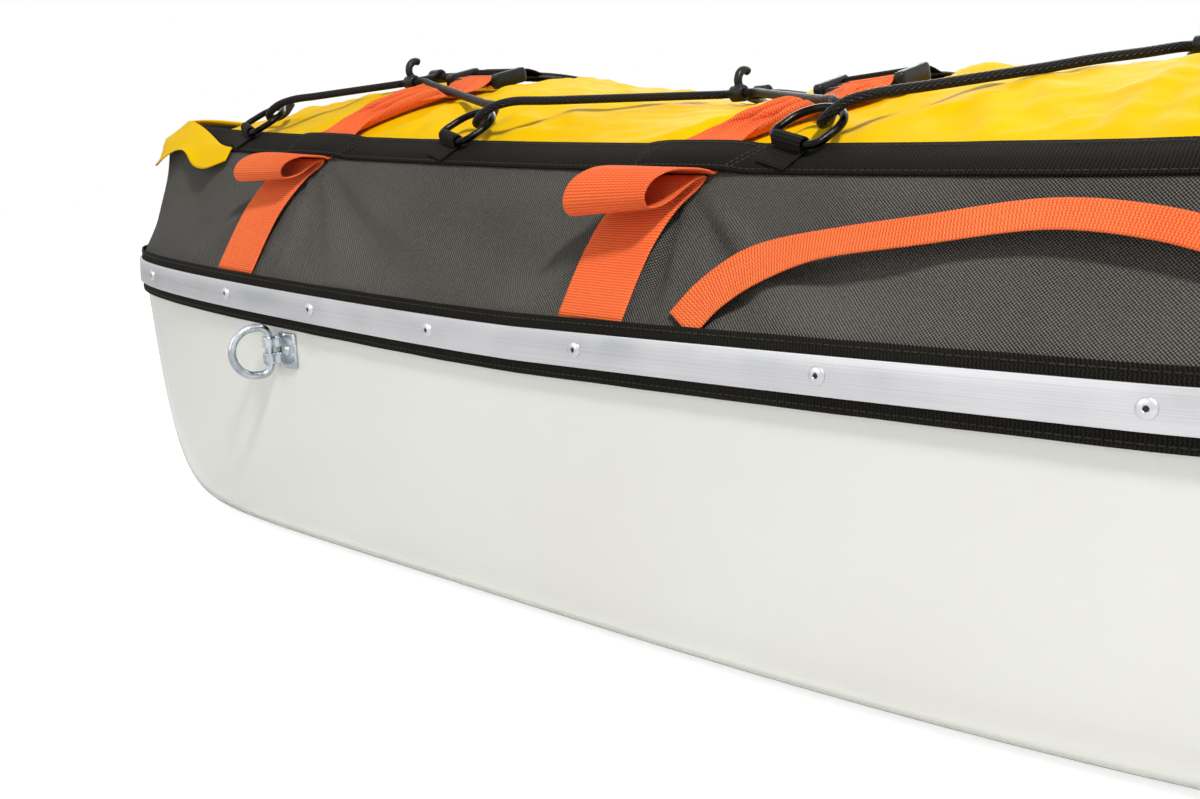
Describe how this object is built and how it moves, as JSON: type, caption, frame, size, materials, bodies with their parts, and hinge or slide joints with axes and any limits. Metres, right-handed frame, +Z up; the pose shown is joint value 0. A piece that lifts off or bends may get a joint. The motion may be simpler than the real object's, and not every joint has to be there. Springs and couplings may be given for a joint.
{
  "type": "pulk sled",
  "caption": "Freight pulk: fibreglass hull with a riveted rim, fabric sides and top cover, buckled straps, shock-cord lacing, grab handles and towing rings.",
  "frame": {"origin": "ground level under the middle of the sled: the centre of the bounding box, at its bottom", "axes": "+X to the bow, +Y to port, +Z up"},
  "size_m": [1.4371, 0.5892, 0.3922],
  "materials": {
    "gelcoat": "glossy warm-white gelcoat over fibreglass",
    "aluminium": "satin flat bar with dome rivets",
    "black_webbing": "woven black webbing",
    "grey_fabric": "coarse plain-weave polyester",
    "yellow_fabric": "light coated polyester",
    "orange_webbing": "woven polyester webbing",
    "black_plastic": "moulded acetal",
    "black_steel": "black-coated steel wire",
    "zinc_steel": "bright zinc-plated steel",
    "shock_cord": "braided cover over rubber strands"
  },
  "bodies": {
    "sled": {"hull": "gelcoat", "rim_band": "black_webbing", "rim_strip_right": "aluminium", "rim_strip_left": "aluminium", "side_skirt": "grey_fabric", "top_webbing": "black_webbing", "top_cover": "yellow_fabric", "stern_flap": "yellow_fabric", "strap_rear_right": "orange_webbing", "strap_rear_left": "black_webbing", "strap_middle_right": "orange_webbing", "strap_middle_left": "black_webbing", "strap_front_right": "orange_webbing", "strap_front_left": "black_webbing", "ring_tab_a_right": "black_webbing", "ring_tab_a_left": "black_webbing", "ring_tab_b_right": "black_webbing", "ring_tab_b_left": "black_webbing", "ring_tab_c_right": "black_webbing", "ring_tab_c_left": "black_webbing", "ring_tab_d_right": "black_webbing", "ring_tab_d_left": "black_webbing", "bungee_right": "shock_cord", "bungee_left": "shock_cord", "tow_clip_rear_right": "zinc_steel", "tow_clip_rear_left": "zinc_steel", "tow_rivet_rear_right": "zinc_steel", "tow_rivet_rear_left": "zinc_steel", "tow_clip_front_right": "zinc_steel", "tow_clip_front_left": "zinc_steel", "tow_rivet_front_right": "zinc_steel", "tow_rivet_front_left": "zinc_steel"},
    "buckle_rear": {"buckle_rear": "black_plastic"},
    "buckle_middle": {"buckle_middle": "black_plastic"},
    "buckle_front": {"buckle_front": "black_plastic"},
    "side_handle_right": {"side_handle_right": "orange_webbing"},
    "side_handle_left": {"side_handle_left": "orange_webbing"},
    "lace_ring_a_right": {"lace_ring_a_right": "black_steel"},
    "lace_ring_a_left": {"lace_ring_a_left": "black_steel"},
    "lace_ring_b_right": {"lace_ring_b_right": "black_steel"},
    "lace_ring_b_left": {"lace_ring_b_left": "black_steel"},
    "lace_ring_c_right": {"lace_ring_c_right": "black_steel"},
    "lace_ring_c_left": {"lace_ring_c_left": "black_steel"},
    "lace_ring_d_right": {"lace_ring_d_right": "black_steel"},
    "lace_ring_d_left": {"lace_ring_d_left": "black_steel"},
    "cord_hook_rear": {"cord_hook_rear": "black_plastic"},
    "cord_hook_middle": {"cord_hook_middle": "black_plastic"},
    "cord_hook_front": {"cord_hook_front": "black_plastic"},
    "tow_ring_rear_right": {"tow_ring_rear_right": "zinc_steel"},
    "tow_ring_rear_left": {"tow_ring_rear_left": "zinc_steel"},
    "tow_ring_front_right": {"tow_ring_front_right": "zinc_steel"},
    "tow_ring_front_left": {"tow_ring_front_left": "zinc_steel"}
  },
  "joints": [
    {"name": "buckle_rear_tilt", "type": "hinge", "parent": "sled", "child": "buckle_rear", "pos_m": [-0.366, -0.08333, 0.36003], "axis": [0.9983, 0, -0.0586], "range_deg": [0, 30], "deforming": ["strap_rear_left"]},
    {"name": "buckle_middle_tilt", "type": "hinge", "parent": "sled", "child": "buckle_middle", "pos_m": [0.008, -0.10346, 0.33115], "axis": [0.998, 0, 0.0626], "range_deg": [0, 30], "deforming": ["strap_middle_left"]},
    {"name": "buckle_front_tilt", "type": "hinge", "parent": "sled", "child": "buckle_front", "pos_m": [0.43597, -0.08401, 0.31874], "axis": [0.9825, 0, -0.186], "range_deg": [0, 30], "deforming": ["strap_front_left"]},
    {"name": "side_handle_right_swing", "type": "hinge", "parent": "sled", "child": "side_handle_right", "pos_m": [0.1698, -0.24566, 0.20061], "axis": [0.9978, 0.0658, 0.0079], "range_deg": [0, 70]},
    {"name": "side_handle_left_swing", "type": "hinge", "parent": "sled", "child": "side_handle_left", "pos_m": [0.1698, 0.24566, 0.20061], "axis": [-0.9978, 0.0658, -0.0079], "range_deg": [0, 70]},
    {"name": "lace_ring_a_right_tilt", "type": "hinge", "parent": "sled", "child": "lace_ring_a_right", "pos_m": [-0.52511, -0.19411, 0.32391], "axis": [0.916, -0.3356, -0.2199], "range_deg": [0, 40], "deforming": ["bungee_right"]},
    {"name": "lace_ring_a_left_tilt", "type": "hinge", "parent": "sled", "child": "lace_ring_a_left", "pos_m": [-0.52511, 0.19411, 0.32391], "axis": [-0.916, -0.3356, 0.2199], "range_deg": [0, 40], "deforming": ["bungee_left"]},
    {"name": "lace_ring_b_right_tilt", "type": "hinge", "parent": "sled", "child": "lace_ring_b_right", "pos_m": [-0.25797, -0.19822, 0.30756], "axis": [0.9397, -0.262, -0.2199], "range_deg": [0, 40], "deforming": ["bungee_right"]},
    {"name": "lace_ring_b_left_tilt", "type": "hinge", "parent": "sled", "child": "lace_ring_b_left", "pos_m": [-0.25797, 0.19822, 0.30756], "axis": [-0.9397, -0.262, 0.2199], "range_deg": [0, 40], "deforming": ["bungee_left"]},
    {"name": "lace_ring_c_right_tilt", "type": "hinge", "parent": "sled", "child": "lace_ring_c_right", "pos_m": [0.02482, -0.19679, 0.2962], "axis": [0.9445, -0.2442, -0.2198], "range_deg": [0, 40], "deforming": ["bungee_right"]},
    {"name": "lace_ring_c_left_tilt", "type": "hinge", "parent": "sled", "child": "lace_ring_c_left", "pos_m": [0.02482, 0.19679, 0.2962], "axis": [-0.9445, -0.2442, 0.2198], "range_deg": [0, 40], "deforming": ["bungee_left"]},
    {"name": "lace_ring_d_right_tilt", "type": "hinge", "parent": "sled", "child": "lace_ring_d_right", "pos_m": [0.29067, -0.18105, 0.29246], "axis": [0.9642, -0.1483, -0.2199], "range_deg": [0, 40], "deforming": ["bungee_right"]},
    {"name": "lace_ring_d_left_tilt", "type": "hinge", "parent": "sled", "child": "lace_ring_d_left", "pos_m": [0.29067, 0.18105, 0.29246], "axis": [-0.9642, -0.1483, 0.2199], "range_deg": [0, 40], "deforming": ["bungee_left"]},
    {"name": "cord_hook_rear_tilt", "type": "hinge", "parent": "sled", "child": "cord_hook_rear", "pos_m": [-0.44397, -0.0858, 0.3638], "axis": [1, 0, 0], "range_deg": [0, 60]},
    {"name": "cord_hook_middle_tilt", "type": "hinge", "parent": "sled", "child": "cord_hook_middle", "pos_m": [-0.14002, -0.03047, 0.34054], "axis": [1, 0, 0], "range_deg": [0, 60]},
    {"name": "cord_hook_front_tilt", "type": "hinge", "parent": "sled", "child": "cord_hook_front", "pos_m": [0.172, -0.01433, 0.34949], "axis": [1, 0, 0], "range_deg": [0, 60]},
    {"name": "tow_ring_rear_right_swing", "type": "hinge", "parent": "sled", "child": "tow_ring_rear_right", "pos_m": [-0.39103, -0.26441, 0.15613], "axis": [-0.0004, -0.064, 0.9979], "range_deg": [-68, 92]},
    {"name": "tow_ring_rear_left_swing", "type": "hinge", "parent": "sled", "child": "tow_ring_rear_left", "pos_m": [-0.39103, 0.26441, 0.15613], "axis": [0.0004, -0.064, -0.9979], "range_deg": [-68, 92]},
    {"name": "tow_ring_front_right_swing", "type": "hinge", "parent": "sled", "child": "tow_ring_front_right", "pos_m": [0.43246, -0.21965, 0.15318], "axis": [0.0538, -0.1795, 0.9823], "range_deg": [-68, 92]},
    {"name": "tow_ring_front_left_swing", "type": "hinge", "parent": "sled", "child": "tow_ring_front_left", "pos_m": [0.43246, 0.21965, 0.15318], "axis": [-0.0538, -0.1795, -0.9823], "range_deg": [-68, 92]}
  ]
}
